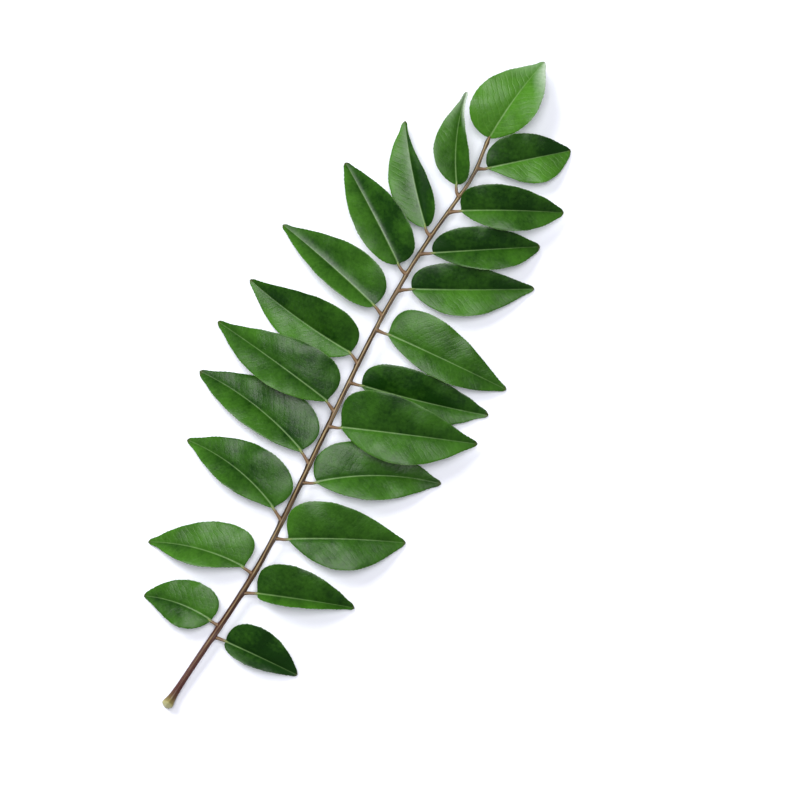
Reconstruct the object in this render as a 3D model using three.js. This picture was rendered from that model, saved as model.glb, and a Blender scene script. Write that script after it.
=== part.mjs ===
// A curry leaf sprig: one pinnate leaf of the curry tree, cut from its twig and laid on a flat surface.
// Millimetres, +Z up. +Y runs along the rachis, from the cut heel to the end leaflet. The origin lies on
// the surface, under the middle of the sprig's length and width.

import * as THREE from 'three';

const { PI, abs, cos, max, sin, tan } = Math;
const radians = THREE.MathUtils.degToRad;

// ---- Driving dimensions ---------------------------------------------------------------------------

const GAP = 0.35; // clearance between pieces that grow together

// The centreline of the rachis, from the cut heel to the foot of the end leaflet.
const RACHIS_ROUTE = [
  [1.5, -123.9, 1.75],
  [2.8, -104.0, 2.5],
  [4.1, -86.0, 3.2],
  [4.8, -66.0, 4.0],
  [4.0, -48.0, 4.7],
  [2.8, -32.0, 5.2],
  [1.4, -13.0, 5.5],
  [0.1, 4.0, 5.7],
  [-0.9, 22.0, 5.9],
  [-1.0, 36.0, 5.9],
  [-0.7, 50.0, 5.9],
  [0.6, 65.0, 5.8],
  [1.9, 80.0, 5.8],
  [1.3, 85.0, 5.8],
  [0.0, 92.6, 6.0],
];
const RACHIS_LOW_RADIUS = 1.08; // above the heel
const RACHIS_HIGH_RADIUS = 0.58; // under the end leaflet
const HEEL_RADIUS = 1.5; // the swollen foot, at the cut
const HEEL_LENGTH = 5.5; // over which the swelling fades
const RACHIS_SIDES = 12;
const RACHIS_STEPS = 54;

const STALK_LOW_RADIUS = 0.62; // a leaflet's stalk where it leaves the rachis
const STALK_HIGH_RADIUS = 0.5; // and where the blade begins
const STALK_SIDES = 8;
const STALK_STEPS = 4;

const BLADE_THICKNESS = 0.4;
const BLADE_FOOT = 0.55; // half the blade's width where the stalk meets it
const MIDRIB_DEPTH = 0.4; // how far the midrib stands out under the blade, at the foot
const BLADE_CURL = 0.07; // how much the margin turns back down, as a share of the half-width
const BLADE_SWEEP = 0.15; // how far the lobes reach back past the foot, as a share of the half-width
const BLADE_STATIONS = 12; // steps along a blade
const BLADE_STRIPS = 3; // steps from the midrib to one margin

// ---- The leaflets, as they lie --------------------------------------------------------------------
//
// at        where the stalk leaves the rachis, as a length along the rachis from the heel
// foot, tip the two ends of the midrib
// hump      how far the midrib rises over the straight line between them
// bend      how far it bows from that line in plan, towards the sprig's end where it is positive
// distal    the half nearer the sprig's end: its width in plan, where along the blade it is widest (as a
//           share of the length), and how sharply it narrows to both ends
// proximal  the half nearer the heel, in the same way
// rise      how steeply the distal and the proximal half rise from the midrib, in degrees
// twist     how much of the rise passes from the proximal to the distal half on the way to the tip

const LEFT = -1;
const RIGHT = 1;

const LEAFLETS = [
  { name: 'left_01', side: LEFT, at: 31.6, foot: [0.1, -91.2, 3.4], tip: [-23.3, -95.8, 0.55],
    hump: 1.2, bend: 1.6, distal: [9.1, 0.32, 1.3], proximal: [6.9, 0.36, 1.5], rise: [14, 16], twist: -8 },
  { name: 'left_02', side: LEFT, at: 52.4, foot: [0.7, -70.2, 4.3], tip: [-31.0, -79.5, 0.55],
    hump: 1.6, bend: 2.1, distal: [11.3, 0.22, 1.35], proximal: [5.6, 0.5, 2.4], rise: [12, 34], twist: -10 },
  { name: 'left_03', side: LEFT, at: 73.4, foot: [-0.4, -48.3, 4.9], tip: [-36.8, -43.6, 0.55],
    hump: 1.6, bend: 2.6, distal: [12, 0.26, 1.4], proximal: [6.6, 0.48, 2.1], rise: [8, 30], twist: -8 },
  { name: 'left_04', side: LEFT, at: 94.5, foot: [-1.9, -27.3, 5.2], tip: [-44.6, -21.7, 0.55],
    hump: 0.2, bend: 2.3, distal: [12.3, 0.25, 1.5], proximal: [7.1, 0.5, 1.6], rise: [4, 30], twist: -8 },
  { name: 'left_05', side: LEFT, at: 113.7, foot: [-3.0, -8.7, 6.6], tip: [-47.5, -4.3, 3.0],
    hump: 3.2, bend: 0.4, distal: [12, 0.23, 1.6], proximal: [7.8, 0.48, 2], rise: [10, 22], twist: 14 },
  { name: 'left_06', side: LEFT, at: 131.6, foot: [-4.0, 9.0, 5.6], tip: [-45.3, 13.1, 1.2],
    hump: -0.6, bend: -1.0, distal: [10.5, 0.25, 1.35], proximal: [8.3, 0.43, 1.9], rise: [40, 6], twist: 0 },
  { name: 'left_07', side: LEFT, at: 149.4, foot: [-5.1, 26.5, 6.0], tip: [-45.0, 34.4, 0.55],
    hump: 2.0, bend: 0.4, distal: [10.8, 0.28, 1.55], proximal: [5.6, 0.4, 1.5], rise: [20, 34], twist: 0 },
  { name: 'left_08', side: LEFT, at: 164.1, foot: [-5.0, 42.4, 6.6], tip: [-37.3, 62.7, 1.6],
    hump: 3.0, bend: 0.2, distal: [9.2, 0.3, 1.4], proximal: [7.5, 0.4, 1.6], rise: [26, 22], twist: 0 },
  { name: 'left_09', side: LEFT, at: 179.1, foot: [-3.3, 57.4, 5.8], tip: [-27.0, 84.5, 2.2],
    hump: 0.4, bend: -0.8, distal: [5.1, 0.26, 2.5], proximal: [8.5, 0.42, 1.8], rise: [52, 14], twist: 0 },
  { name: 'left_10', side: LEFT, at: 195.3, foot: [-1.3, 74.7, 6.4], tip: [-14.0, 103.0, 4.2],
    hump: 1.0, bend: -1.7, distal: [4.7, 0.2, 2.2], proximal: [7.4, 0.36, 2.4], rise: [50, 18], twist: 12 },
  { name: 'right_01', side: RIGHT, at: 28.8, foot: [7.8, -95.2, 3.0], tip: [34.0, -93.2, 0.55],
    hump: 0.8, bend: 0.2, distal: [9.4, 0.35, 1.35], proximal: [4.1, 0.34, 1.4], rise: [26, 30], twist: 0 },
  { name: 'right_02', side: RIGHT, at: 46.2, foot: [8.9, -75.7, 4.2], tip: [39.3, -64.3, 0.55],
    hump: 1.6, bend: 0.3, distal: [10.9, 0.27, 1.3], proximal: [2.8, 0.3, 1.3], rise: [22, 58], twist: 0 },
  { name: 'right_03', side: RIGHT, at: 66.4, foot: [8.9, -54.9, 4.8], tip: [43.3, -37.0, 0.55],
    hump: 1.6, bend: 0.7, distal: [12.5, 0.26, 1.4], proximal: [10.4, 0.48, 1.95], rise: [22, 14], twist: 0 },
  { name: 'right_04', side: RIGHT, at: 87.0, foot: [7.5, -34.0, 5.0], tip: [43.7, -14.0, 0.55],
    hump: 0.4, bend: 2.4, distal: [13, 0.27, 1.6], proximal: [8.1, 0.47, 1.9], rise: [2, 24], twist: 8 },
  { name: 'right_05', side: RIGHT, at: 107.5, foot: [5.6, -13.9, 6.8], tip: [47.5, 3.5, 3.2],
    hump: 2.6, bend: 0.2, distal: [13.2, 0.24, 1.45], proximal: [10, 0.45, 2], rise: [22, 16], twist: 0 },
  { name: 'right_06', side: RIGHT, at: 123.8, foot: [4.4, 1.4, 5.6], tip: [45.9, 13.6, 0.55],
    hump: -0.6, bend: -0.6, distal: [9.7, 0.3, 1.15], proximal: [7.8, 0.47, 2.3], rise: [26, 10], twist: 0 },
  { name: 'right_07', side: RIGHT, at: 143.2, foot: [3.7, 20.6, 6.0], tip: [46.8, 24.0, 0.55],
    hump: 2.0, bend: 0.2, distal: [11.7, 0.25, 1.5], proximal: [6.9, 0.48, 1.9], rise: [8, 22], twist: 0 },
  { name: 'right_08', side: RIGHT, at: 159.2, foot: [2.7, 37.4, 5.4], tip: [38.1, 57.8, 0.55],
    hump: 0.2, bend: -0.3, distal: [8.6, 0.3, 1.4], proximal: [8.9, 0.42, 2], rise: [12, 18], twist: 0 },
  { name: 'right_09', side: RIGHT, at: 173.4, foot: [2.9, 51.0, 6.2], tip: [32.7, 70.8, 1.4],
    hump: 1.6, bend: 0, distal: [7.8, 0.36, 1.4], proximal: [6.9, 0.55, 1.8], rise: [18, 26], twist: 0 },
  { name: 'right_10', side: RIGHT, at: 190.2, foot: [4.1, 68.0, 6.8], tip: [33.9, 84.4, 2.6],
    hump: 2.6, bend: 0.3, distal: [8.4, 0.3, 1.2], proximal: [7, 0.5, 1.8], rise: [30, 22], twist: 0 },
  { name: 'right_11', side: RIGHT, at: 206.4, foot: [4.3, 84.7, 5.4], tip: [25.6, 103.7, 0.55],
    hump: 0.8, bend: 0, distal: [9, 0.36, 1.45], proximal: [8.6, 0.58, 2.1], rise: [6, 14], twist: 0 },
];
const END_LEAFLET = { name: 'end', side: RIGHT, foot: [0.0, 93.1, 6.0], tip: [3.4, 124.6, 3.4],
  hump: 3.0, bend: 0.8, distal: [11.6, 0.26, 1.6], proximal: [8.7, 0.45, 1.9], rise: [10, 20], twist: 0 };

// ---- Materials ------------------------------------------------------------------------------------

function leafMaterial() {
  return new THREE.MeshStandardMaterial({ color: 0x2c6a1f, roughness: 0.42, metalness: 0 });
}

function stalkMaterial() {
  return new THREE.MeshStandardMaterial({ color: 0x8c6a3c, roughness: 0.6, metalness: 0 });
}

function rachisMaterial() {
  return new THREE.MeshStandardMaterial({ color: 0x6b4c30, roughness: 0.6, metalness: 0 });
}

// ---- Solids ---------------------------------------------------------------------------------------

// The volume inside a closed, indexed surface: negative where its faces point inwards.
function signedVolume(points, index) {
  let total = 0;
  for (let i = 0; i < index.length; i += 3) {
    const [a, b, c] = [points[index[i]], points[index[i + 1]], points[index[i + 2]]];
    total += a.dot(b.clone().cross(c)) / 6;
  }
  return total;
}

// Joins rings of points, each with the same count, into a skin, and closes each end with a fan.
function loft(rings) {
  const count = rings[0].length;
  const points = rings.flat();
  const index = [];
  for (let r = 0; r + 1 < rings.length; r += 1) {
    for (let k = 0; k < count; k += 1) {
      const [a, b] = [r * count + k, r * count + ((k + 1) % count)];
      index.push(a, b, b + count, a, b + count, a + count);
    }
  }
  for (const [first, turned] of [[0, true], [(rings.length - 1) * count, false]]) {
    const ring = points.slice(first, first + count);
    const middle = points.length;
    points.push(ring.reduce((sum, p) => sum.add(p), new THREE.Vector3()).divideScalar(count));
    for (let k = 0; k < count; k += 1) {
      const [a, b] = [first + k, first + ((k + 1) % count)];
      index.push(middle, turned ? b : a, turned ? a : b);
    }
  }
  if (signedVolume(points, index) < 0) index.reverse();
  const geometry = new THREE.BufferGeometry().setFromPoints(points);
  geometry.setIndex(index);
  geometry.computeVertexNormals();
  return geometry;
}

// A round rod along a curve, whose radius is a function of the length along it.
function rod(curve, radiusAt, sides, steps) {
  const frames = curve.computeFrenetFrames(steps, false);
  const length = curve.getLength();
  const rings = [];
  for (let i = 0; i <= steps; i += 1) {
    const centre = curve.getPointAt(i / steps);
    const radius = radiusAt((i / steps) * length);
    const ring = [];
    for (let k = 0; k < sides; k += 1) {
      const turn = (2 * PI * k) / sides;
      ring.push(
        centre.clone()
          .addScaledVector(frames.normals[i], radius * cos(turn))
          .addScaledVector(frames.binormals[i], radius * sin(turn)),
      );
    }
    rings.push(ring);
  }
  return loft(rings);
}

function named(name, geometry, material) {
  const mesh = new THREE.Mesh(geometry, material);
  mesh.name = name;
  return mesh;
}

// ---- Rachis ---------------------------------------------------------------------------------------

const rachisCurve = new THREE.CatmullRomCurve3(RACHIS_ROUTE.map((p) => new THREE.Vector3(...p)));
const rachisLength = rachisCurve.getLength();

// The rachis thins evenly from heel to tip, and its foot swells where it sat on the twig.
function rachisRadius(along) {
  const stem = THREE.MathUtils.lerp(RACHIS_LOW_RADIUS, RACHIS_HIGH_RADIUS, along / rachisLength);
  const fade = max(0, 1 - along / HEEL_LENGTH);
  return stem + (HEEL_RADIUS - RACHIS_LOW_RADIUS) * fade * fade * (3 - 2 * fade);
}

function rachis() {
  const end = rachisCurve.getPointAt(1 - GAP / rachisLength);
  const route = RACHIS_ROUTE.slice(0, -1).map((p) => new THREE.Vector3(...p));
  const curve = new THREE.CatmullRomCurve3([...route, end]);
  return named('rachis', rod(curve, rachisRadius, RACHIS_SIDES, RACHIS_STEPS), rachisMaterial());
}

// ---- Leaflets -------------------------------------------------------------------------------------

// The direction in plan from the foot of a blade to its tip.
function headingOf({ foot, tip }) {
  return new THREE.Vector3(tip[0] - foot[0], tip[1] - foot[1], 0).normalize();
}

// A stalk leaves the rachis squarely and bends into the heading of its blade.
function stalk(leaflet) {
  const { name, side, at, foot } = leaflet;
  const along = rachisCurve.getTangentAt(at / rachisLength);
  const square = new THREE.Vector3(side * along.y, -side * along.x, 0).normalize();
  const start = rachisCurve.getPointAt(at / rachisLength).addScaledVector(square, rachisRadius(at) + GAP);
  const end = new THREE.Vector3(...foot).addScaledVector(headingOf(leaflet), -GAP);
  const handle = start.distanceTo(end) / 3;
  const curve = new THREE.CubicBezierCurve3(
    start,
    start.clone().addScaledVector(square, handle),
    end.clone().addScaledVector(headingOf(leaflet), -handle),
    end,
  );
  const length = curve.getLength();
  const radius = (reach) => THREE.MathUtils.lerp(STALK_LOW_RADIUS, STALK_HIGH_RADIUS, reach / length);
  return named(`stalk_${name}`, rod(curve, radius, STALK_SIDES, STALK_STEPS), stalkMaterial());
}

// The plan half-width at a share s of the blade's length. The two powers put the widest place at peak,
// and a larger sum of them, fall, makes both ends sharper.
function halfWidth([width, peak, fall], s) {
  const outline = (s / peak) ** (fall * peak) * ((1 - s) / (1 - peak)) ** (fall * (1 - peak));
  return width * outline + BLADE_FOOT * (1 - 0.6 * s) * (1 - outline);
}

// The blade is a sheet folded up along its midrib. A ring is one section of it: over the top from the
// proximal to the distal margin, and back underneath.
function bladeRing(leaflet, s) {
  const { side, foot, tip, hump, bend, distal, proximal, rise, twist } = leaflet;
  const reach = new THREE.Vector3(...tip).sub(new THREE.Vector3(...foot));
  const heading = headingOf(leaflet);
  const towardsEnd = new THREE.Vector3(-side * heading.y, side * heading.x, 0);
  const bow = 4 * s * (1 - s);
  const bowSlope = 4 * (1 - 2 * s);
  const midrib = new THREE.Vector3(...foot).addScaledVector(reach, s).addScaledVector(towardsEnd, bend * bow);
  midrib.z += hump * bow;
  const along = reach.clone().addScaledVector(towardsEnd, bend * bowSlope);
  const across = new THREE.Vector3(-side * along.y, side * along.x, 0).normalize();
  along.z += hump * bowSlope;
  along.normalize();
  const up = along.clone().cross(across).multiplyScalar(side);

  const settle = bow ** 0.25; // the fold opens out towards both ends
  const ring = { top: [], under: [] };
  for (let j = -BLADE_STRIPS; j <= BLADE_STRIPS; j += 1) {
    const t = abs(j) / BLADE_STRIPS;
    const out = j < 0 ? -1 : 1;
    const width = halfWidth(j < 0 ? proximal : distal, s);
    const lean = (j < 0 ? rise[1] - twist * (s - 0.5) : rise[0] + twist * (s - 0.5)) * settle;
    const slope = tan(radians(lean));
    const sweep = j < 0 ? 0 : BLADE_SWEEP * (1 - s) ** 4;
    const point = midrib.clone()
      .addScaledVector(across, out * width * t)
      .addScaledVector(up, width * (slope * t - BLADE_CURL * t * t))
      .addScaledVector(along, -sweep * width * t);
    const tilt = j === 0 ? 0 : -out * (slope - 2 * BLADE_CURL * t);
    const normal = up.clone().addScaledVector(across, tilt).normalize();
    const rib = j === 0 ? MIDRIB_DEPTH * (1 - 0.8 * s) : 0;
    ring.top.push(point.clone().addScaledVector(normal, BLADE_THICKNESS / 2));
    ring.under.unshift(point.clone().addScaledVector(normal, -BLADE_THICKNESS / 2 - rib));
  }
  return [...ring.top, ...ring.under];
}

function blade(leaflet) {
  const rings = [];
  for (let i = 0; i <= BLADE_STATIONS; i += 1) {
    rings.push(bladeRing(leaflet, (1 - cos((PI * i) / BLADE_STATIONS)) / 2));
  }
  return named(`leaflet_${leaflet.name}`, loft(rings), leafMaterial());
}

// ---- The sprig ------------------------------------------------------------------------------------

const sprig = new THREE.Group();
sprig.add(rachis());
for (const leaflet of LEAFLETS) {
  sprig.add(stalk(leaflet));
  sprig.add(blade(leaflet));
}
sprig.add(blade(END_LEAFLET));

// Laid down: the lowest points touch the surface, midway along and across.
const box = new THREE.Box3().setFromObject(sprig);
const middle = box.getCenter(new THREE.Vector3());
sprig.position.set(-middle.x, -middle.y, -box.min.z);

export default sprig;
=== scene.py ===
"""A curry leaf sprig lying on a pale table: its fine rachis, stalks and leaflets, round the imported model.

Metres, +Z up. +Y runs along the rachis, from its cut heel to the end leaflet. Sizes of single features are
given in millimetres, times MM.
"""

import logging
import math
from dataclasses import dataclass, field
from enum import Enum

import bpy
import numpy as np
from mathutils import Matrix, Vector


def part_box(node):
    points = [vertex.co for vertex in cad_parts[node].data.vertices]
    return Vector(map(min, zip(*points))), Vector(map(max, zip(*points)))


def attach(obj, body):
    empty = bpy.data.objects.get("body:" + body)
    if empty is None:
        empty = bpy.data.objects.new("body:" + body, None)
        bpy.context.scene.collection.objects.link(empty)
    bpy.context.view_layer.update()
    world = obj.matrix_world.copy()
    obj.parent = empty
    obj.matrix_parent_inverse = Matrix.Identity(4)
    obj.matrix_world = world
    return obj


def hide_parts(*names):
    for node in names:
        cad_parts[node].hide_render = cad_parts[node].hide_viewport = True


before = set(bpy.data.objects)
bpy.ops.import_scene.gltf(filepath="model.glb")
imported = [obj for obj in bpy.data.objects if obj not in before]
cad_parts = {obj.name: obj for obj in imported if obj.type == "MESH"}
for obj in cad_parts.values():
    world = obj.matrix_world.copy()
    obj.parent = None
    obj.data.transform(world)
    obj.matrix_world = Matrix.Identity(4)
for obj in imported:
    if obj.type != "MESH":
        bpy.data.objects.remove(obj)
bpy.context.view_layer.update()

log = logging.getLogger("sprig")

MM = 0.001
UV_SPAN = 50 * MM  # a UV map's unit square covers this length both ways
BODY = "root"
UPRIGHT = np.array([0.0, 0.0, 1.0])
VEIN_PITCH = 2.2 * MM  # between side veins, along the midrib
VEIN_LEAN = 0.6  # how far a side vein runs forward for each step outwards, by the midrib
VEIN_BEND = 22.0  # how much that lean grows with each metre outwards
VEIN_STAGGER = 0.45  # how many pitches the distal half's veins lie from the proximal half's


# ---- Shaders ----------------------------------------------------------------------------------------


@dataclass(frozen=True)
class Signal:
    """A shader socket that carries a number. Arithmetic on it adds Math nodes."""

    shader: "Shader"
    socket: bpy.types.NodeSocket

    def math(self, operation: str, *others: "Signal | float") -> "Signal":
        """One Math node on this signal.

        Args:
            operation: the Math node's operation.
            others: its other inputs, in order.

        Returns:
            The node's result.
        """
        inputs = dict(enumerate((self, *others)))
        return self.shader.number("ShaderNodeMath", {"operation": operation}, inputs)

    def __add__(self, other: "Signal | float") -> "Signal":
        """The sum."""
        return self.math("ADD", other)

    __radd__ = __add__

    def __mul__(self, other: "Signal | float") -> "Signal":
        """The product."""
        return self.math("MULTIPLY", other)

    __rmul__ = __mul__

    def __sub__(self, other: "Signal | float") -> "Signal":
        """The difference."""
        return self.math("SUBTRACT", other)

    def __rsub__(self, other: float) -> "Signal":
        """The difference, from a number."""
        return self * -1.0 + other

    def __truediv__(self, other: "Signal | float") -> "Signal":
        """The quotient."""
        return self.math("DIVIDE", other)

    def __abs__(self) -> "Signal":
        """The size without the sign."""
        return self.math("ABSOLUTE")

    def fraction(self) -> "Signal":
        """What is left over the whole number below."""
        return self.math("FRACT")

    def step(self, low: float, high: float) -> "Signal":
        """Rises smoothly from 0 at low to 1 at high.

        Args:
            low: where the rise starts.
            high: where it ends, which is below low for a fall.

        Returns:
            The step.
        """
        if low > high:
            return 1.0 - self.step(high, low)
        settings = {"interpolation_type": "SMOOTHSTEP"}
        sockets = {"Value": self, "From Min": low, "From Max": high}
        return self.shader.number("ShaderNodeMapRange", settings, sockets)


class Shader:
    """A material's nodes, with a Principled BSDF at the end of them."""

    def __init__(self, name: str) -> None:
        """Starts a material.

        Args:
            name: the material's name.
        """
        self.material = bpy.data.materials.new(name)
        self.material.use_nodes = True
        self.tree = self.material.node_tree
        self.tree.nodes.clear()
        self.surface = self.tree.nodes.new("ShaderNodeBsdfPrincipled")
        output = self.tree.nodes.new("ShaderNodeOutputMaterial")
        self.tree.links.new(self.surface.outputs["BSDF"], output.inputs["Surface"])

    @staticmethod
    def _input(node: bpy.types.Node, key: "str | int") -> bpy.types.NodeSocket:
        """A node's input, by its place, its identifier or its name."""
        if isinstance(key, int):
            return node.inputs[key]
        return next((s for s in node.inputs if s.identifier == key), None) or node.inputs[key]

    def connect(self, node: bpy.types.Node, sockets: dict) -> None:
        """Sets or links a node's inputs.

        Args:
            node: the node.
            sockets: a value, a socket or a signal for each input's key.
        """
        for key, value in sockets.items():
            target = self._input(node, key)
            source = value.socket if isinstance(value, Signal) else value
            if isinstance(source, bpy.types.NodeSocket):
                self.tree.links.new(source, target)
            else:
                target.default_value = source

    def node(self, kind: str, settings: dict, sockets: dict) -> bpy.types.Node:
        """Adds a node.

        Args:
            kind: the node's type.
            settings: its properties, set first.
            sockets: as for connect.

        Returns:
            The node.
        """
        made = self.tree.nodes.new(kind)
        for key, value in settings.items():
            setattr(made, key, value)
        self.connect(made, sockets)
        return made

    def number(self, kind: str, settings: dict, sockets: dict, out: "str | int" = 0) -> Signal:
        """Adds a node and takes one of its outputs as a number."""
        return Signal(self, self.node(kind, settings, sockets).outputs[out])

    def attribute(self, name: str) -> Signal:
        """A number stored on the mesh's points."""
        return self.number("ShaderNodeAttribute", {"attribute_name": name}, {}, "Fac")

    def surface_mm(self) -> tuple[Signal, Signal]:
        """The UV map's two coordinates, in millimetres along and across the piece."""
        uv = self.node("ShaderNodeUVMap", {"uv_map": "surface"}, {})
        split = self.node("ShaderNodeSeparateXYZ", {}, {0: uv.outputs[0]})
        span = UV_SPAN / MM
        return Signal(self, split.outputs[0]) * span, (Signal(self, split.outputs[1]) - 0.5) * span

    def vector(self, x: Signal, y: Signal) -> bpy.types.NodeSocket:
        """Two numbers as a vector, with 0 for the third."""
        return self.node("ShaderNodeCombineXYZ", {}, {0: x, 1: y, 2: 0.0}).outputs[0]

    def place(self) -> bpy.types.NodeSocket:
        """The point's place in space, in metres."""
        return self.node("ShaderNodeTexCoord", {}, {}).outputs["Object"]

    def noise(self, where: bpy.types.NodeSocket, scale: float, detail: float = 2.0) -> Signal:
        """Soft noise from 0 to 1.

        Args:
            where: the coordinates.
            scale: how many waves there are in one unit of them.
            detail: how many finer layers lie on top.

        Returns:
            The noise.
        """
        sockets = {"Vector": where, "Scale": scale, "Detail": detail, "Roughness": 0.55}
        return self.number("ShaderNodeTexNoise", {}, sockets)

    def mix(self, share: "Signal | float", first: object, second: object) -> bpy.types.NodeSocket:
        """A blend of two colours.

        Args:
            share: how much of the second colour there is.
            first: a colour or a colour socket.
            second: another one.

        Returns:
            The blended colour.
        """
        sockets = {"Factor_Float": share, "A_Color": first, "B_Color": second}
        settings = {"data_type": "RGBA", "clamp_factor": True}
        made = self.node("ShaderNodeMix", settings, sockets)
        return next(s for s in made.outputs if s.identifier == "Result_Color")

    def relief(self, height: Signal) -> bpy.types.NodeSocket:
        """A normal tilted by a height in millimetres."""
        return self.node("ShaderNodeBump", {}, {"Height": height, "Distance": MM}).outputs[0]


def rgba(red: float, green: float, blue: float) -> tuple[float, float, float, float]:
    """An opaque colour, from linear light."""
    return (red, green, blue, 1.0)


# ---- Finishes ---------------------------------------------------------------------------------------


@dataclass(frozen=True)
class LeafFinish:
    """The waxy skin of a curry leaflet: dark and glossy above, pale and dull beneath, netted with veins."""

    # deep and fresh are the ends of the leaf's green range; mixed by the tone value they also paint shade and
    # light on whole halves
    deep: tuple = rgba(0.0045, 0.028, 0.0016)
    fresh: tuple = rgba(0.052, 0.170, 0.012)
    vein: tuple = rgba(0.085, 0.210, 0.030)
    midrib: tuple = rgba(0.160, 0.270, 0.095)
    margin: tuple = rgba(0.075, 0.170, 0.025)
    tip: tuple = rgba(0.060, 0.045, 0.015)
    beneath: tuple = rgba(0.110, 0.210, 0.055)
    painted_sheen: tuple = rgba(0.400, 0.480, 0.380)  # painted sheen: a grey-white reflection painted towards some tips and beside the midrib

    def material(self) -> bpy.types.Material:
        """Builds the leaf material.

        Returns:
            The material, which reads the blade's UV map and its along, edge, upper and tone values.
        """
        shader = Shader("leaf_blade")
        along_mm, across_mm = shader.surface_mm()
        out_mm = abs(across_mm)
        along = shader.attribute("along")
        edge = shader.attribute("edge")
        upper = shader.attribute("upper")
        tone = shader.attribute("tone")
        sheet = shader.vector(along_mm, across_mm)
        place = shader.place()

        veins = self._side_veins(shader, along_mm, across_mm, out_mm, sheet) * edge.step(1.0, 0.75)
        net = self._net(shader, sheet)
        half_width = 0.20 - along * 0.13
        midrib = 1.0 - ((out_mm - half_width) / 0.12).step(0.0, 1.0)
        broad = shader.noise(place, 75.0, 3.0)
        blotch = shader.noise(sheet, 0.33, 3.0)
        mottle = shader.noise(sheet, 1.0, 4.0)

        # Painted light and shade: the tone value lifts halves that face the light towards fresh green and
        # sinks those that face away towards deep green, on top of random tone.
        share = (broad - 0.5) * 1.2 + (blotch - 0.5) * 0.45 + (mottle - 0.5) * 0.45 + tone
        colour = shader.mix(share, self.deep, self.fresh)
        colour = shader.mix(net * tone * 0.16, colour, self.vein)
        colour = shader.mix(veins * tone * tone * 0.4, colour, self.vein)
        colour = shader.mix(edge.step(0.97, 1.0) * 0.5, colour, self.margin)
        colour = shader.mix(midrib * (0.35 + blotch * 0.5 - along * 0.35), colour, self.midrib)
        colour = shader.mix(along.step(0.965, 0.995) * 0.45, colour, self.tip)
        # Painted sheen: grey-white reflection painted near the tips of some leaflets and on a strip beside
        # the midrib.
        colour = shader.mix(shader.attribute("painted_sheen") * (mottle + 0.4), colour, self.painted_sheen)
        under = shader.mix(veins * 0.4 + midrib * 0.6, self.beneath, self.midrib)
        colour = shader.mix(upper, under, colour)

        grain = shader.noise(sheet, 5.0, 2.0)
        height = net * -0.012 + veins * (tone * tone * -0.04 - 0.008)
        height = height + (grain - 0.5) * 0.025 + (mottle - 0.5) * 0.035 + (blotch - 0.5) * 0.07
        roughness = 0.31 + (mottle - 0.5) * 0.2 + (1.0 - upper) * 0.25
        shader.connect(
            shader.surface,
            {
                "Base Color": colour,
                "Roughness": roughness,
                "Normal": shader.relief(height),
                "IOR": 1.45,
                "Specular IOR Level": 0.30,
            },
        )
        return shader.material

    @staticmethod
    def _side_veins(
        shader: Shader,
        along_mm: Signal,
        across_mm: Signal,
        out_mm: Signal,
        sheet: bpy.types.NodeSocket,
    ) -> Signal:
        """The side veins: lines at one pitch along the midrib, leaning forward and curving to the tip.

        Args:
            shader: the material's shader.
            along_mm: millimetres along the midrib.
            across_mm: millimetres from it, distal positive.
            out_mm: the same without its sign.
            sheet: both, as a vector.

        Returns:
            1 on a vein and 0 between them.
        """
        pitch_mm = VEIN_PITCH / MM
        wander = shader.noise(sheet, 0.22, 1.0) * 2.4
        stagger = across_mm.step(-0.01, 0.01) * VEIN_STAGGER
        bend = out_mm * (out_mm * (VEIN_BEND * MM) + VEIN_LEAN)
        phase = (along_mm - bend + wander) / pitch_mm + stagger
        off = abs(phase.fraction() - 0.5) * pitch_mm
        return off.step(0.30, 0.04) * out_mm.step(0.1, 0.8)

    @staticmethod
    def _net(shader: Shader, sheet: bpy.types.NodeSocket) -> Signal:
        """The finest veins, round cells about a millimetre wide: 1 on a vein."""
        sockets = {"Vector": sheet, "Scale": 1.1, "Randomness": 1.0}
        gap = shader.number("ShaderNodeTexVoronoi", {"feature": "DISTANCE_TO_EDGE"}, sockets, "Distance")
        return gap.step(0.10, 0.01)


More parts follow.
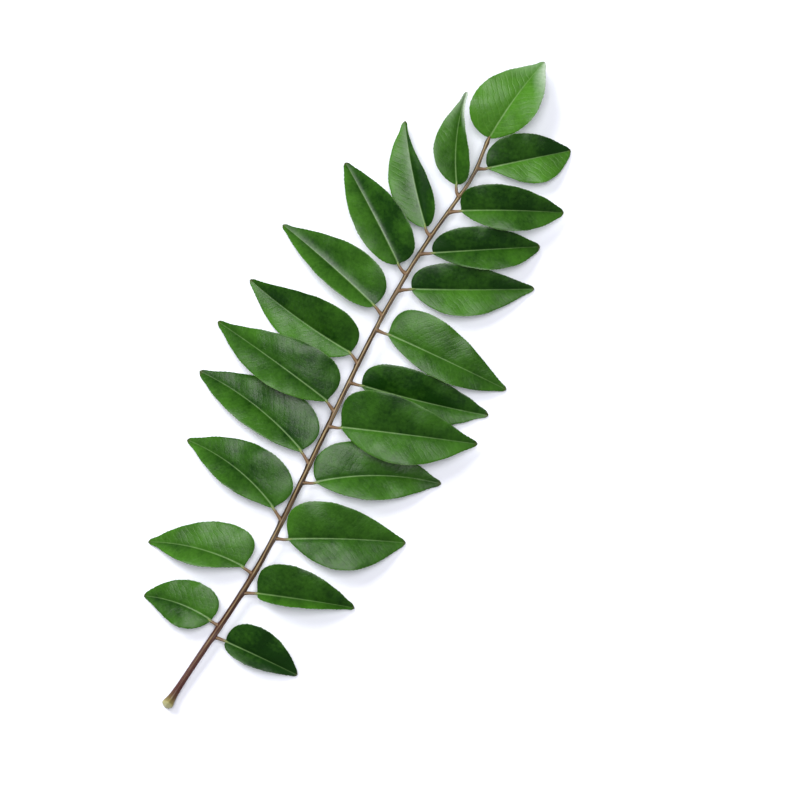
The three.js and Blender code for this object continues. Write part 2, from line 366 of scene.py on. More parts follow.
@dataclass(frozen=True)
class BarkFinish:
    """The skin of the rachis: brown, streaked along its length, greener to the tip and pale at the cut."""

    # dark also paints the shade on the rachis's flanks, and tan is partly a painted highlight along its top.
    dark: tuple = rgba(0.022, 0.010, 0.004)
    brown: tuple = rgba(0.080, 0.044, 0.016)
    tan: tuple = rgba(0.270, 0.200, 0.095)
    plum: tuple = rgba(0.062, 0.014, 0.011)
    heel: tuple = rgba(0.250, 0.220, 0.060)
    cut: tuple = rgba(0.440, 0.430, 0.210)

    def material(self) -> bpy.types.Material:
        """Builds the bark material.

        Returns:
            The material, which reads the UV map and the along, ridge, crown, heel and cut values.
        """
        shader = Shader("rachis_bark")
        along_mm, around_mm = shader.surface_mm()
        along = shader.attribute("along")
        ridge = shader.attribute("ridge")
        streaks = shader.noise(shader.vector(along_mm * 0.10, around_mm * 1.3), 1.0, 3.0)
        broad = shader.noise(shader.place(), 130.0, 3.0)
        speck = shader.noise(shader.vector(along_mm, around_mm), 3.2, 2.0).step(0.62, 0.72)

        crown = shader.attribute("crown")
        # Painted shade: where crown falls below 0.85, on the flanks and underneath, the colour goes towards
        # dark; the tan on top is partly a painted highlight.
        crest = ridge * 0.32 + (streaks - 0.5) * 1.6 + along * 0.25 - crown.step(0.85, 0.45) * 0.8
        colour = shader.mix(crest.step(-0.35, 0.10), self.dark, self.brown)
        colour = shader.mix(crest.step(0.05, 0.55), colour, self.tan)
        colour = shader.mix(along.step(0.34, 0.0) * (0.95 - crest.step(0.0, 0.6) * 0.6), colour, self.plum)
        colour = shader.mix(speck * 0.25, colour, self.tan)
        colour = shader.mix(shader.attribute("heel") * (0.3 + streaks * 0.8), colour, self.heel)
        colour = shader.mix(shader.attribute("cut") * (0.2 + speck * 0.2 + broad), colour, self.cut)

        height = (streaks - 0.5) * 0.2 + speck * 0.03
        shader.connect(
            shader.surface,
            {
                "Base Color": colour,
                "Roughness": 0.42 + (streaks - 0.5) * 0.3,
                "Normal": shader.relief(height),
            },
        )
        return shader.material


@dataclass(frozen=True)
class StalkFinish:
    """The skin of a leaflet stalk: brown where it leaves the rachis, greener where the blade begins."""

    brown: tuple = rgba(0.150, 0.084, 0.040)
    green: tuple = rgba(0.150, 0.220, 0.060)

    def material(self) -> bpy.types.Material:
        """Builds the stalk material.

        Returns:
            The material, which reads the UV map and the along value.
        """
        shader = Shader("leaflet_stalk")
        along_mm, around_mm = shader.surface_mm()
        streaks = shader.noise(shader.vector(along_mm * 0.6, around_mm * 3.0), 1.2, 3.0)
        share = shader.attribute("along").step(0.55, 0.9) + (streaks - 0.5) * 0.6
        shader.connect(
            shader.surface,
            {
                "Base Color": shader.mix(share, self.brown, self.green),
                "Roughness": 0.45 + (streaks - 0.5) * 0.2,
                "Normal": shader.relief((streaks - 0.5) * 0.08),
            },
        )
        return shader.material


# ---- Meshes -----------------------------------------------------------------------------------------


def unit(vectors: np.ndarray) -> np.ndarray:
    """Each vector along the last axis, at length 1."""
    return vectors / np.linalg.norm(vectors, axis=-1, keepdims=True)


def loft(
    name: str,
    sections: np.ndarray,
    uv: np.ndarray,
    values: dict,
    material: bpy.types.Material,
) -> bpy.types.Object:
    """Joins closed sections into a skin, and closes both ends with a fan.

    Point (i, k) is point k of section i. Each quad joins two neighbours of one section to the same two of
    the next, and the whole is turned over if the volume inside it comes out negative.

    Args:
        name: the object's name.
        sections: the points, as sections by points by 3, in metres.
        uv: the UV map, with one more column than there are points, so that it closes on itself.
        values: a number for each point, by the attribute's name.
        material: the object's material.

    Returns:
        The object, riding on the sprig's body.
    """
    rows, columns, _ = sections.shape
    ids = np.arange(rows * columns).reshape(rows, columns)
    after = np.roll(ids, -1, axis=1)
    quads = np.stack([ids[:-1], after[:-1], after[1:], ids[1:]], axis=-1).reshape(-1, 4)
    first = np.full(columns, rows * columns)
    fans = np.concatenate(
        [np.stack([first, after[0], ids[0]], axis=-1), np.stack([first + 1, ids[-1], after[-1]], axis=-1)]
    )
    points = np.concatenate([sections.reshape(-1, 3), sections[[0, -1]].mean(axis=1)])

    spots = np.arange(rows * (columns + 1)).reshape(rows, columns + 1)
    uv_quads = np.stack([spots[:-1, :-1], spots[:-1, 1:], spots[1:, 1:], spots[1:, :-1]], axis=-1)
    flat_uv = np.concatenate([uv.reshape(-1, 2), uv[[0, -1], :-1].mean(axis=1)])
    middle = np.full(columns, rows * (columns + 1))
    uv_fans = np.concatenate(
        [
            np.stack([middle, spots[0, 1:], spots[0, :-1]], axis=-1),
            np.stack([middle + 1, spots[-1, :-1], spots[-1, 1:]], axis=-1),
        ]
    )

    a, b, c = points[quads[:, 0]], points[quads[:, 1]], points[quads[:, 2]]
    d = points[quads[:, 3]]
    inside = np.sum(np.cross(a, b) * c) + np.sum(np.cross(a, c) * d)
    if inside < 0:
        quads, fans = quads[:, ::-1], fans[:, ::-1]
        uv_quads, uv_fans = uv_quads[..., ::-1], uv_fans[:, ::-1]

    corners = np.concatenate([quads.ravel(), fans.ravel()]).astype(np.int32)
    uv_corners = np.concatenate([uv_quads.ravel(), uv_fans.ravel()])
    sizes = np.concatenate([np.full(len(quads), 4), np.full(len(fans), 3)]).astype(np.int32)
    starts = np.concatenate([[0], np.cumsum(sizes)[:-1]]).astype(np.int32)

    mesh = bpy.data.meshes.new(name)
    mesh.vertices.add(len(points))
    mesh.vertices.foreach_set("co", points.astype(np.float32).ravel())
    mesh.loops.add(len(corners))
    mesh.loops.foreach_set("vertex_index", corners)
    mesh.polygons.add(len(sizes))
    mesh.polygons.foreach_set("loop_start", starts)
    mesh.polygons.foreach_set("use_smooth", np.ones(len(sizes), dtype=bool))
    layer = mesh.uv_layers.new(name="surface")
    layer.data.foreach_set("uv", flat_uv[uv_corners].astype(np.float32).ravel())
    for key, value in values.items():
        full = np.broadcast_to(value, (rows, columns))
        store = mesh.attributes.new(key, "FLOAT", "POINT")
        ends = full[[0, -1]].mean(axis=1)
        store.data.foreach_set("value", np.concatenate([full.ravel(), ends]).astype(np.float32))
    mesh.update(calc_edges=True)
    mesh.validate()
    mesh.materials.append(material)

    made = bpy.data.objects.new(name, mesh)
    bpy.context.scene.collection.objects.link(made)
    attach(made, BODY)
    return made


def rod_sections(path: np.ndarray, radii: np.ndarray, sides: int) -> np.ndarray:
    """Rings round a path that lies nearly level.

    A ring's point is the path's point plus the radius times (cosine of the turn times the level side
    direction plus sine of the turn times the direction square to both).

    Args:
        path: the centres, one row each.
        radii: one radius for each ring, or for each point of each ring.
        sides: how many points a ring has.

    Returns:
        The rings, as rings by sides by 3.
    """
    ahead = unit(np.gradient(path, axis=0))
    level = unit(np.cross(ahead, UPRIGHT))
    up = np.cross(level, ahead)
    turn = np.linspace(0, 2 * np.pi, sides, endpoint=False)[None, :, None]
    reach = np.broadcast_to(np.atleast_2d(radii.T).T, (len(path), sides))[..., None]
    return path[:, None] + reach * (np.cos(turn) * level[:, None] + np.sin(turn) * up[:, None])


def rod_uv(path: np.ndarray, radius: float, sides: int) -> np.ndarray:
    """A rod's UV map: lengths along the path, and round it at one radius."""
    steps = np.linalg.norm(np.diff(path, axis=0), axis=1)
    along = np.concatenate([[0.0], np.cumsum(steps)])[:, None]
    around = np.linspace(-np.pi, np.pi, sides + 1)[None] * radius
    grid = np.broadcast_arrays(along, around)
    return np.stack([grid[0] / UV_SPAN, grid[1] / UV_SPAN + 0.5], axis=-1)


def node_points(node: str) -> np.ndarray:
    """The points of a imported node's mesh, one row each."""
    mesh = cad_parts[node].data
    points = np.empty(len(mesh.vertices) * 3, dtype=np.float32)
    mesh.vertices.foreach_get("co", points)
    return points.reshape(-1, 3).astype(float)


def node_slices(node: str, stations: np.ndarray) -> np.ndarray:
    """The middle and the half-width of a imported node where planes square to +Y cut it.

    An edge crosses a plane where its ends lie on both sides, and the crossing is the ends' blend that puts
    Y at the plane.

    Args:
        node: the node's name.
        stations: the planes' places along Y.

    Returns:
        For each plane, the middle's X and Z, and half the width along X.
    """
    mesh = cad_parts[node].data
    points = node_points(node)
    edges = np.empty(len(mesh.edges) * 2, dtype=np.int32)
    mesh.edges.foreach_get("vertices", edges)
    ends = points[edges.reshape(-1, 2)]
    near, far = ends[:, 0], ends[:, 1]
    found = []
    for station in stations:
        hit = (near[:, 1] - station) * (far[:, 1] - station) < 0
        share = ((station - near[hit, 1]) / (far[hit, 1] - near[hit, 1]))[:, None]
        cut = near[hit] + share * (far[hit] - near[hit])
        low, high = cut.min(axis=0), cut.max(axis=0)
        found.append([(low[0] + high[0]) / 2, (low[2] + high[2]) / 2, (high[0] - low[0]) / 2])
    return np.array(found)


# ---- Rachis -----------------------------------------------------------------------------------------


@dataclass
class Rachis:
    """The sprig's stem: it swells at its cut heel and at each leaflet's stalk, and thins to the tip."""

    rings: int = 620
    sides: int = 28
    ridge: float = 0.07  # height of the five lengthwise ridges, as a share of the radius
    flare: float = 0.5 * MM  # how much wider the cut heel gets
    slant: float = 0.4  # how far the cut leans back for each step up
    node_swell: float = 0.18 * MM
    end_reach: float = 1.8 * MM  # how far the stem runs on into the end blade
    node_reach: float = 1.5 * MM
    heel_reach: float = 7 * MM
    path: np.ndarray = field(init=False)
    radii: np.ndarray = field(init=False)

    def __post_init__(self) -> None:
        """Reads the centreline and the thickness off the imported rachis."""
        low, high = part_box("rachis")
        inset = 0.2 * MM
        stations = np.linspace(low.y + inset, high.y - inset, 60)
        slices = node_slices("rachis", stations)
        fine = np.linspace(stations[0], stations[-1], self.rings)
        smooth = np.array([0.25, 0.5, 0.25])
        columns = []
        for column in slices.T:
            padded = np.concatenate([column[:1], column, column[-1:]])
            columns.append(np.interp(fine, stations, np.convolve(padded, smooth, "valid")))
        body = np.stack([columns[0], fine, columns[1]], axis=-1)
        run = np.linspace(0.1, 1, 12)[:, None]
        beyond = body[-1] + unit(body[-1] - body[-20]) * self.end_reach * run
        self.path = np.concatenate([body, beyond])
        neck = 1 + 0.3 * np.exp(-(((fine - fine[-1] + 0.8 * MM) / (1.2 * MM)) ** 2))
        radii = columns[2] * neck + self.flare * np.exp(-(((fine - fine[0]) / (3.2 * MM)) ** 2))
        self.radii = np.concatenate([radii, radii[-1] * (1 - 0.6 * run[:, 0] ** 1.5)])
        self.path[:, 2] = np.maximum(self.path[:, 2], self.radii * (1 + self.ridge))

    def nearest(self, point: np.ndarray) -> int:
        """The index of the ring nearest to a point."""
        return int(np.argmin(np.linalg.norm(self.path - point, axis=1)))

    def build(self, stalk_starts: list, material: bpy.types.Material) -> bpy.types.Object:
        """Makes the stem.

        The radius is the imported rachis's, times 1 plus the ridges (a cosine of five times the turn), plus a
        bell-shaped swelling towards each stalk.

        Args:
            stalk_starts: where the stalks leave the stem, each with its direction.
            material: the bark.

        Returns:
            The stem's object.
        """
        turn = np.linspace(0, 2 * np.pi, self.sides, endpoint=False)[None]
        y = self.path[:, 1:2]
        wave = 0.6 * np.sin(y / (7 * MM)) + 0.4 * np.sin(y / (2.7 * MM) + 2)
        ridges = np.cos(5 * turn + 0.6 * wave - 2.9)
        radii = self.radii[:, None] * (1 + self.ridge * ridges + 0.02 * wave)
        for start, side in stalk_starts:
            bell = np.exp(-(((y - start[1]) / self.node_reach) ** 2))
            facing = np.clip(side * np.cos(turn), 0, 1) ** 1.5
            collar = np.exp(-(((y - start[1] + 0.4 * MM) / (0.6 * self.node_reach)) ** 2))
            radii = radii + self.node_swell * (bell * facing + 0.25 * collar)

        # The cut: rings that shrink inwards on the end face, proud in the middle and rounded at the rim.
        shares = np.array([0.25, 0.6, 0.82, 0.93])
        setback = np.array([-0.62, -0.52, -0.34, -0.16]) * MM
        face_path = self.path[:1] + setback[:, None] * np.array([[0.0, 1.0, 0.0]])
        path = np.concatenate([face_path, self.path])
        radii = np.concatenate([shares[:, None] * radii[:1], radii])
        sections = rod_sections(path, radii, self.sides)
        sections[: len(shares)] += self.path[0] - path[0] + (face_path - self.path[0])[:, None]
        sections[: len(shares)] -= (sections[: len(shares)].mean(axis=1) - face_path)[:, None]

        # The cut slants: near the end, a point moves back by a share of its height over the lowest line.
        run = np.abs(path[:, 1:2] - path[0, 1])
        height = sections[..., 2] - sections[..., 2].min(axis=1, keepdims=True)
        sections[..., 1] += self.slant * height * np.exp(-((run / (2.2 * MM)) ** 2))

        along = np.clip((path[:, 1:2] - path[0, 1]) / (path[-1, 1] - path[0, 1]), 0, 1)
        heel = np.exp(-(((path[:, 1:2] - self.path[0, 1]) / self.heel_reach) ** 2) * 4)
        cut = np.clip(1.3 - (path[:, 1:2] - path[0, 1]) / (1.1 * MM), 0, 1)
        ridges = np.concatenate([np.ones((len(shares), self.sides)), ridges])
        crown = np.sin(turn) + 0 * ridges
        made = loft(
            "rachis_stem",
            sections,
            rod_uv(path, 1.0 * MM, self.sides),
            {"along": along, "heel": heel, "cut": cut, "ridge": ridges, "crown": crown},
            material,
        )
        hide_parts("rachis")
        return made


# ---- Leaflets ---------------------------------------------------------------------------------------


class Side(Enum):
    """The side of the rachis that a leaflet grows on, seen from above."""

    LEFT = -1
    RIGHT = 1


TIP_HOLLOW = 0.07  # how much a half draws in just before the tip
TIP_HOLLOW_AT = 0.92  # where along the blade it does
TIP_HOLLOW_REACH = 0.05  # over which share of the length


@dataclass(frozen=True)
class Half:
    """One half of a blade.

    It has a width (mm), a place where it is widest, a sharpness with which it narrows, a rise (degrees), a
    share of fresh green that also paints the half's light and shade, a share of painted sheen towards its
    tip, and a shoulder: the width (mm) of a strip that lies level beside the midrib.
    """

    width: float
    peak: float
    fall: float
    rise: float
    tone: float
    painted_sheen: float = 0
    shoulder: float = 0

    def outline(self, s: np.ndarray, strip: np.ndarray) -> np.ndarray:
        """The half-width in metres at shares s of the length.

        The outline is s over the peak to one power times (1 - s) over (1 - peak) to another, so it is 1 at
        the peak. It draws in a little before the tip, and a narrow strip fills what is left at both ends.
        """
        fullness = (s / self.peak) ** (self.fall * self.peak)
        fullness = fullness * ((1 - s) / (1 - self.peak)) ** (self.fall * (1 - self.peak))
        hollow = np.exp(-(((s - TIP_HOLLOW_AT) / TIP_HOLLOW_REACH) ** 2))
        fullness = fullness * (1 - TIP_HOLLOW * hollow)
        return self.width * MM * fullness + strip * (1 - fullness)


@dataclass(frozen=True)
class Form:
    """How one leaflet lies: see Leaflet. Hump and bend are in millimetres, twist in degrees."""

    name: str
    side: Side
    hump: float
    bend: float
    distal: Half
    proximal: Half
    twist: float = 0


L, R = Side.LEFT, Side.RIGHT
FORMS = (
    Form("left_01", L, 1.2, 1.6, Half(9.1, 0.32, 1.3, 5, 0.46), Half(7.1, 0.38, 1.8, 22, 0.35), -8),
    Form("left_02", L, 1.6, 2.1, Half(11.3, 0.22, 1.35, 3, 0.60), Half(5.6, 0.5, 2.4, 34, 0.46), -10),
    Form("left_03", L, 1.6, 2.6, Half(12.0, 0.26, 1.4, 8, 0.25), Half(6.6, 0.48, 2.1, 30, 0.37), -8),
    Form("left_04", L, 0.2, 2.3, Half(12.3, 0.25, 1.5, 6, 0.28), Half(7.1, 0.5, 1.6, 30, 0.41), -8),
    Form("left_05", L, 3.2, 0.4, Half(12.0, 0.23, 1.6, 12, 0.25), Half(7.8, 0.48, 2, 22, 0.35), 14),
    Form("left_06", L, -0.6, -1.0, Half(10.5, 0.25, 1.35, 40, 0.20), Half(8.3, 0.43, 1.9, 6, 0.55), 0),
    Form("left_07", L, 2.0, 0.4, Half(10.8, 0.28, 1.55, 26, 0.25, 0, 2.4), Half(5.6, 0.4, 1.5, 34, 0.41), 0),
    Form("left_08", L, 3.0, 0.2, Half(9.2, 0.3, 1.4, 32, 0.12, 0, 1.5), Half(7.5, 0.4, 1.6, 24, 0.36), 0),
    Form("left_09", L, 0.4, -0.8, Half(5.1, 0.26, 2.5, 52, 0.10), Half(8.5, 0.42, 1.8, 13, 0.62, 0, 2.6), 0),
    Form(
        "left_10", L, 1.0, -1.7, Half(4.7, 0.22, 2.3, 44, 0.15, 1.0), Half(7.4, 0.36, 2.4, 18, 0.38, 0.3), 12
    ),
    Form("right_01", R, 0.8, 0.2, Half(9.4, 0.35, 1.35, 26, 0.0), Half(4.1, 0.34, 1.4, 30, 0.0), 0),
    Form("right_02", R, 1.6, 0.3, Half(10.9, 0.27, 1.3, 22, 0.20), Half(2.8, 0.3, 1.3, 58, 0.30), 0),
    Form("right_03", R, 1.6, 0.7, Half(12.5, 0.26, 1.4, 20, 0.36), Half(10.4, 0.48, 1.95, 18, 0.34), 0),
    Form("right_04", R, 0.4, 2.4, Half(11.8, 0.285, 1.6, 10, 0.28), Half(8.1, 0.47, 1.9, 24, 0.40), 8),
    Form("right_05", R, 2.6, 0.2, Half(13.2, 0.24, 1.45, 22, 0.20), Half(10.0, 0.45, 2, 18, 0.38), 0),
    Form("right_06", R, -0.6, -0.6, Half(9.7, 0.3, 1.15, 26, 0.12), Half(7.8, 0.47, 2.3, 18, 0.40), 0),
    Form("right_07", R, 2.0, 0.2, Half(11.7, 0.25, 1.5, 11, 0.45), Half(6.9, 0.48, 1.9, 22, 0.40), 0),
    Form("right_08", R, 0.2, -0.3, Half(8.6, 0.3, 1.4, 25, 0.09), Half(8.9, 0.42, 2, 18, 0.52), 0),
    Form("right_09", R, 1.6, 0, Half(7.8, 0.36, 1.4, 26, 0.08), Half(6.9, 0.55, 1.8, 26, 0.25), 0),
    Form("right_10", R, 2.6, 0.3, Half(8.4, 0.3, 1.2, 30, 0.15), Half(7.0, 0.5, 1.8, 22, 0.38), 0),
    Form("right_11", R, 0.8, 0, Half(9, 0.36, 1.45, 24, 0.12), Half(8.6, 0.58, 2.1, 12, 0.80), 0),
)
END_FORM = Form(
    "end", R, 3.0, 0.8, Half(11.9, 0.33, 1.85, 10, 1.0, 0.25), Half(8.7, 0.45, 1.9, 20, 0.92, 0.8), -24
)


@dataclass
class Leaflet:
    """A blade folded up along its midrib, on a short stalk. The distal half is nearer the sprig's end."""

    form: Form
    foot: np.ndarray
    tip: np.ndarray
    seed: int
    stations: int = 150
    strips: int = 34  # from the midrib to one margin
    thickness: float = 0.30 * MM
    midrib_shade_left: float = 0.40  # painted shade: how much darker a left leaflet's proximal half is by the midrib than at its margin
    midrib_shade: float = 0.12  # the same in every other half
    foot_width: float = 0.5 * MM
    tip_width: float = 0.8 * MM
    tip_round: float = 1.1 * MM  # how far from the tip its rounding starts
    curl: float = 0.07  # how much flatter a half gets towards its margin
    sweep: float = 0.15  # how far a distal half's base reaches back, as a share of its width
    scallop: float = 0.045 * MM
    scallop_pitch: float = 1.25 * MM
    wave: float = 0.045  # how far the margin waves, as a share of the half-width
    quilt: float = 0.025 * MM  # how far the blade swells between its side veins
    shoulder_sheen: float = 0.24  # how much painted sheen lies on a strip beside the midrib
    billow: float = 0.22 * MM  # how far the whole blade swells and sinks

    def build(self, material: bpy.types.Material) -> bpy.types.Object:
        """Makes the blade.

        Args:
            material: the leaf's skin.

        Returns:
            The blade's object.
        """
        s = ((1 - np.cos(np.linspace(0, np.pi, self.stations))) / 2)[:, None]
        t = np.linspace(-1, 1, 2 * self.strips + 1)[None]
        v = np.sign(t) * np.abs(t) ** 1.35
        middle, normal, across_mm = self._sheet(s, v)

        rim = np.sqrt(1 - np.abs(v) ** 24)
        end = np.clip(np.minimum(s, 1 - s) / 0.004, 0.35, 1)
        half = 0.5 * self.thickness * rim * end
        rib = 0.30 * MM * (1 - 0.85 * s) * np.exp(-((across_mm / 0.42) ** 2))
        crest = 0.07 * MM * (1 - 0.6 * s) * np.exp(-((across_mm / 0.24) ** 2))
        groove = 0.16 * MM * (1 - 0.5 * s) * np.exp(-((across_mm / 0.8) ** 2))
        top = middle + (half + crest - groove)[..., None] * normal
        under = middle - (half + rib)[..., None] * normal
        sections = np.concatenate([top, under[:, ::-1]], axis=1)

        length = np.linalg.norm(self.tip - self.foot)
        along = np.broadcast_to(s * length, across_mm.shape)
        uv_top = np.stack([along / UV_SPAN, across_mm * MM / UV_SPAN + 0.5], axis=-1)
        uv = np.concatenate([uv_top, uv_top[:, ::-1], uv_top[:, :1]], axis=1)
        values = self._values(s, v, across_mm)
        made = loft(f"blade_{self.form.name}", sections, uv, values, material)
        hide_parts(f"leaflet_{self.form.name}")
        return made

    def _values(self, s: np.ndarray, v: np.ndarray, across_mm: np.ndarray) -> dict:
        """What the leaf's skin reads at each point, over the top and back underneath.

        Args:
            s: shares of the length, as a column.
            v: shares of the half-width, proximal negative, as a row.
            across_mm: the plan distance from the midrib.

        Returns:
            The along, edge, upper, tone and sheen values.
        """
        near, far = self.form.proximal, self.form.distal
        edge = np.broadcast_to(np.abs(v), across_mm.shape)
        upper = np.ones(across_mm.shape)
        share = np.clip(across_mm / 0.6 + 0.5, 0, 1)
        # Painted shade: each half's green stands in for how it is lit, darker by the midrib and lighter
        # towards the margin.
        midrib_shade = self.midrib_shade_left if self.form.side is Side.LEFT else self.midrib_shade
        midrib_shade = midrib_shade * (1 - share) + self.midrib_shade * share
        tone = near.tone * (1 - share) + far.tone * share + midrib_shade * (np.abs(v) - 0.5)
        # Painted sheen: grey-white reflection towards some tips and on a strip beside the midrib.
        painted_sheen = near.painted_sheen * (1 - share) + far.painted_sheen * share
        painted_sheen = painted_sheen * np.clip((s - 0.42) / 0.38, 0, 1) * np.clip(np.abs(v) + 3 * (s - 0.8), 0, 1)
        strip = np.where(v > 0, far.shoulder, near.shoulder)
        pale = (strip > 0) * np.exp(-((across_mm / np.maximum(0.55 * strip, 0.01)) ** 2))
        painted_sheen = np.maximum(painted_sheen, self.shoulder_sheen * pale * np.sqrt(4 * s * (1 - s)))
        return {
            "along": np.broadcast_to(s, (len(s), 2 * v.shape[1])),
            "edge": np.concatenate([edge, edge[:, ::-1]], axis=1),
            "upper": np.concatenate([upper, 0 * upper], axis=1),
            "tone": np.concatenate([tone, tone[:, ::-1]], axis=1),
            "painted_sheen": np.concatenate([painted_sheen, 0 * painted_sheen], axis=1),
        }

    def _sheet(self, s: np.ndarray, v: np.ndarray) -> tuple[np.ndarray, np.ndarray, np.ndarray]:
        """The blade's middle surface.

        The midrib is the line from foot to tip plus a parabola upwards and one sideways. A point lies
        v half-widths from it: out in plan, back towards the foot near the base, and up by the rise less a
        curl that grows with v squared. Waves along the margin, and a swelling between side veins, lie on top.

        Args:
            s: shares of the length, as a column.
            v: shares of the half-width, proximal negative, as a row.

        Returns:
            The points, the unit normals, and the plan distance from the midrib in millimetres.
        """
        form = self.form
        side = form.side.value
        reach = self.tip - self.foot
        length = np.linalg.norm(reach[:2])
        heading = np.array([reach[0], reach[1], 0]) / length
        to_end = np.array([-side * heading[1], side * heading[0], 0])
        bow, slope = 4 * s * (1 - s), 4 * (1 - 2 * s)
        hump = form.hump * MM
        bend = form.bend * MM
        midrib = self.foot + reach * s + to_end * bend * bow + UPRIGHT * hump * bow
        ahead = reach + to_end * bend * slope
        across = unit(np.stack([-side * ahead[:, 1], side * ahead[:, 0], 0 * ahead[:, 0]], axis=-1))
        ahead = unit(ahead + UPRIGHT * hump * slope)
        up = np.cross(ahead, across) * side

        distal = v > 0
        closing = np.clip(1 - (1 - s) * length / self.tip_round, 0, 0.93)
        strip = (self.foot_width * (1 - s) + self.tip_width * s**8) * np.sqrt(1 - closing**2)
        width = np.where(distal, form.distal.outline(s, strip), form.proximal.outline(s, strip))
        turn = form.twist * (s - 0.5)
        lean = np.where(distal, form.distal.rise + turn, form.proximal.rise - turn)
        lean = lean * np.sqrt(np.sqrt(bow))
        tan = np.tan(np.radians(lean))

        rng = np.random.default_rng(self.seed)
        phase = rng.uniform(0, 2 * np.pi, 8)
        count = rng.uniform(0.85, 1.15, 4)
        out = np.abs(v)
        teeth = 2 * np.pi * s * length / (self.scallop_pitch * count[0])
        teeth = np.sin(teeth + phase[0] + 3 * np.sin(9 * s))
        uneven = np.sin(23 * s * count[1] + phase[6]) + np.sin(41 * s * count[2] + phase[7])
        margin = out**10 * self.scallop * (teeth * (1 + 0.4 * uneven) + 0.9 * uneven)
        margin = margin * np.clip(bow * 4, 0, 1)
        plan = width * out + margin
        ripple = np.sin(2 * np.pi * (2.3 * count[1] * s + 0.15 * v) + phase[1])
        ripple = ripple + 0.25 * np.sin(2 * np.pi * (5.1 * count[2] * s) + phase[2] + 2 * v)
        ripple = ripple * np.where(distal, 1.0, np.cos(phase[3]))
        lift = width * ((tan + self.curl) * out - 2 * self.curl * out**2 + self.wave * out**2 * ripple * bow)

        shoulder = np.where(distal, form.distal.shoulder, form.proximal.shoulder) * MM
        level = shoulder * np.tanh(plan / np.maximum(shoulder, 0.01 * MM))
        lift = lift - (tan + self.curl) * level

        run = (s * length - plan * (VEIN_LEAN + VEIN_BEND * plan)) / VEIN_PITCH + VEIN_STAGGER * distal
        ridge = np.abs(np.sin(np.pi * run)) - 0.6
        lift = lift + self.quilt * ridge * np.clip(plan / (2.5 * MM), 0, 1) * (1 - out**6) * bow
        away = np.sign(v) * plan / (10 * MM)
        run = s * length / (10 * MM)
        rumple = np.sin(4.4 * count[3] * run + 2.2 * away + phase[4])
        rumple = rumple * np.sin(2.6 * away - 1.1 * run + phase[5])
        rumple = rumple + 0.3 * np.sin(6.6 * count[0] * run - 5 * away + phase[6])
        lift = lift + self.billow * rumple * bow * np.clip(plan / (4 * MM), 0, 1)

        back = np.where(distal, self.sweep, 0) * (1 - s) ** 4 * width * out
        back = back - 0.3 * MM * closing**2 * (np.sin(np.pi * out**0.8) ** 2 - 0.6)
        points = (
            midrib[:, None]
            + (np.sign(v) * plan)[..., None] * across[:, None]
            + lift[..., None] * up[:, None]
            - back[..., None] * ahead[:, None]
        )
        along = np.gradient(points, axis=0)
        over = np.gradient(points, axis=1)
        normal = unit(np.cross(over, along) * side + 1e-12 * UPRIGHT)
        normal = np.where(normal[..., 2:] < 0, -normal, normal)
        return points, normal, np.sign(v) * plan / MM


@dataclass
class Stalk:
    """The short stalk that carries a side leaflet, thicker where it leaves the rachis."""

    name: str
    start: np.ndarray
    foot: np.ndarray
    heading: np.ndarray
    rings: int = 30
    sides: int = 14

    def build(self, material: bpy.types.Material) -> bpy.types.Object:
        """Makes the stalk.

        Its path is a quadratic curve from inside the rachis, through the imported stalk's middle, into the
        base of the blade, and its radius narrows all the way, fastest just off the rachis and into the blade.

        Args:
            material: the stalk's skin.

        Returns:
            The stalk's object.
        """
        s = np.linspace(0, 1, self.rings)[:, None]
        end = self.foot + self.heading * 1.2 * MM
        centre = node_points(f"stalk_{self.name}")
        centre = (centre.min(axis=0) + centre.max(axis=0)) / 2
        elbow = 1.5 * centre - 0.25 * (self.start + self.foot)
        path = (1 - s) ** 2 * self.start + 2 * s * (1 - s) * elbow + s**2 * end
        radius = (0.62 - 0.22 * s + 0.22 * np.exp(-((s / 0.22) ** 2)) - 1.1 * np.clip(s - 0.8, 0, 1)) * MM
        turn = np.linspace(0, 2 * np.pi, self.sides, endpoint=False)[None]
        radii = radius * (1 + 0.05 * np.cos(3 * turn + 6 * s) + 0.04 * np.sin(14 * s + turn))
        made = loft(
            f"petiolule_{self.name}",
            rod_sections(path, radii, self.sides),
            rod_uv(path, 0.5 * MM, self.sides),
            {"along": s},
            material,
        )
        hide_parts(f"stalk_{self.name}")
        return made


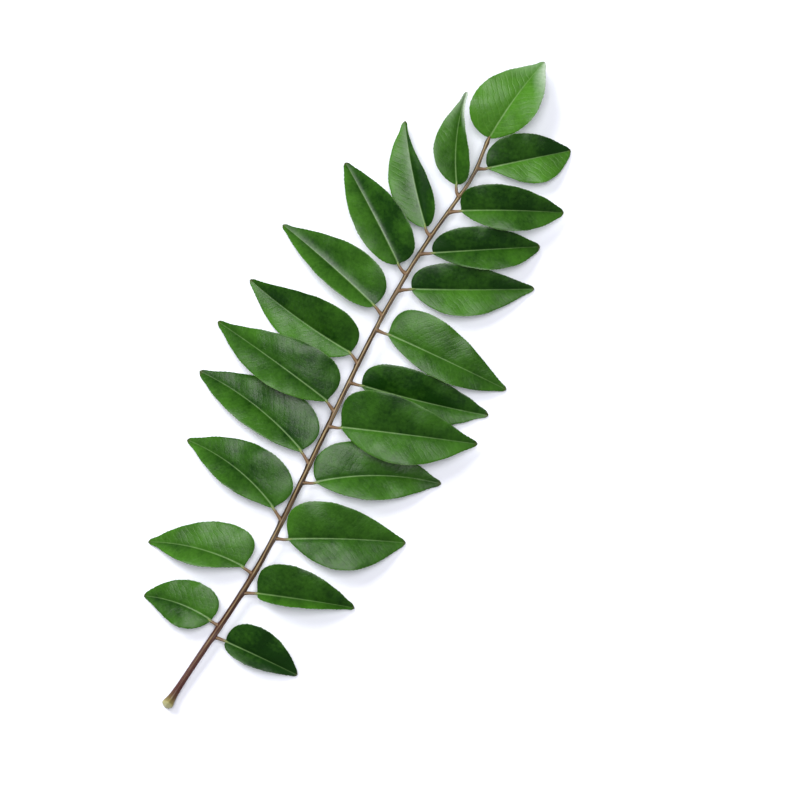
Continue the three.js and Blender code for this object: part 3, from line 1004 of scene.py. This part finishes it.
@dataclass
class Sprig:
    """The whole sprig: a rachis with its leaflets along both sides and one at its end."""

    leaf: LeafFinish = LeafFinish()
    bark: BarkFinish = BarkFinish()
    stalk: StalkFinish = StalkFinish()

    @staticmethod
    def ends(node: str, near: np.ndarray) -> tuple[np.ndarray, np.ndarray]:
        """The two ends of a packed blade.

        Args:
            node: the blade's node.
            near: a point by the blade's foot.

        Returns:
            The foot and the tip: the middles of its points round the one nearest and the one farthest.
        """
        points = node_points(node)
        start = points[np.argmin(np.linalg.norm(points - near, axis=1))]
        foot = points[np.linalg.norm(points - start, axis=1) < 0.75 * MM].mean(axis=0)
        far = points[np.argmax(np.linalg.norm(points - foot, axis=1))]
        tip = points[np.linalg.norm(points - far, axis=1) < 0.5 * MM].mean(axis=0)
        return foot, tip

    def build(self) -> None:
        """Makes every piece."""
        rachis = Rachis()
        leaf_skin = self.leaf.material()
        stalk_skin = self.stalk.material()
        starts = []
        for number, form in enumerate(FORMS):
            stalk_points = node_points(f"stalk_{form.name}")
            foot, tip = self.ends(f"leaflet_{form.name}", stalk_points.mean(axis=0))
            inner = stalk_points[np.argmin(form.side.value * stalk_points[:, 0])]
            start = rachis.path[rachis.nearest(inner)]
            heading = unit((tip - foot) * np.array([1, 1, 0]))
            starts.append((start, form.side.value))
            Leaflet(form, foot, tip, seed=number).build(leaf_skin)
            Stalk(form.name, start, foot, heading).build(stalk_skin)
            log.info("leaflet %s and its stalk", form.name)
        foot, tip = self.ends("leaflet_end", rachis.path[-1])
        Leaflet(END_FORM, foot, tip, seed=len(FORMS)).build(leaf_skin)
        log.info("end leaflet")
        rachis.build(starts, self.bark.material())
        log.info("rachis")


# ---- Studio -----------------------------------------------------------------------------------------


@dataclass(frozen=True)
class Studio:
    """A pale table under soft light, and a camera straight above, turned so that the sprig slants."""

    view_turn: float = math.radians(30)
    view_centre: tuple = (17.9 * MM, 3.0 * MM)
    view_height: float = 1.0
    view_span: float = 266.7 * MM
    table_size: float = 6.0
    table_drop: float = 0.2 * MM  # how far the table lies under the sprig's lowest point
    sky: tuple = rgba(0.98, 0.98, 1.0)
    sky_strength: float = 0.17

    def _ahead(self) -> tuple[Vector, Vector]:
        """The directions on the table that run right and up in the view."""
        turn = Matrix.Rotation(self.view_turn, 3, "Z")
        return turn @ Vector((1, 0, 0)), turn @ Vector((0, 1, 0))

    def camera(self) -> None:
        """Makes the camera."""
        data = bpy.data.cameras.new("camera")
        data.sensor_width = 36
        data.lens = data.sensor_width * self.view_height / self.view_span
        made = bpy.data.objects.new("camera", data)
        made.location = (*self.view_centre, self.view_height)
        made.rotation_euler = (0, 0, self.view_turn)
        bpy.context.scene.collection.objects.link(made)
        bpy.context.scene.camera = made

    def table(self) -> None:
        """Makes the table's top."""
        mesh = bpy.data.meshes.new("table")
        reach = self.table_size / 2
        corners = [(-reach, -reach, 0), (reach, -reach, 0), (reach, reach, 0), (-reach, reach, 0)]
        mesh.from_pydata(corners, [], [(0, 1, 2, 3)])
        shader = Shader("table_top")
        shader.connect(shader.surface, {"Base Color": rgba(0.85, 0.86, 0.95), "Roughness": 0.7})
        mesh.materials.append(shader.material)
        made = bpy.data.objects.new("table", mesh)
        made.location = (0, 0, -self.table_drop)
        bpy.context.scene.collection.objects.link(made)

    def lamp(self, name: str, offset: tuple, size: float, power: float, mirrored: bool = True) -> None:
        """Makes a square soft lamp that faces the sprig.

        Args:
            name: its name.
            offset: how far right, up and above in the view it hangs.
            size: its side.
            power: its power in watts.
            mirrored: whether glossy surfaces mirror it.
        """
        right, up = self._ahead()
        data = bpy.data.lights.new(name, "AREA")
        data.shape = "SQUARE"
        data.size = size
        data.energy = power
        made = bpy.data.objects.new(name, data)
        made.location = right * offset[0] + up * offset[1] + Vector((0, 0, offset[2]))
        made.rotation_euler = made.location.to_track_quat("Z", "Y").to_euler()
        made.visible_glossy = mirrored
        bpy.context.scene.collection.objects.link(made)

    def build(self) -> None:
        """Sets up the view, the table and the light."""
        self.camera()
        self.table()
        self.lamp("key_lamp", (-0.8, 1.0, 0.95), 0.8, 27, mirrored=False)
        self.lamp("overhead_lamp", (0.05, 0.22, 1.55), 0.9, 22)
        world = bpy.data.worlds.new("studio")
        world.use_nodes = True
        background = world.node_tree.nodes["Background"]
        background.inputs["Color"].default_value = self.sky
        background.inputs["Strength"].default_value = self.sky_strength
        bpy.context.scene.world = world
        bpy.context.scene.view_settings.view_transform = "Standard"


def main() -> None:
    """Builds the studio and the sprig."""
    logging.basicConfig(level=logging.INFO, format="%(message)s")
    Studio().build()
    Sprig().build()


if __name__ == "__main__":
    main()
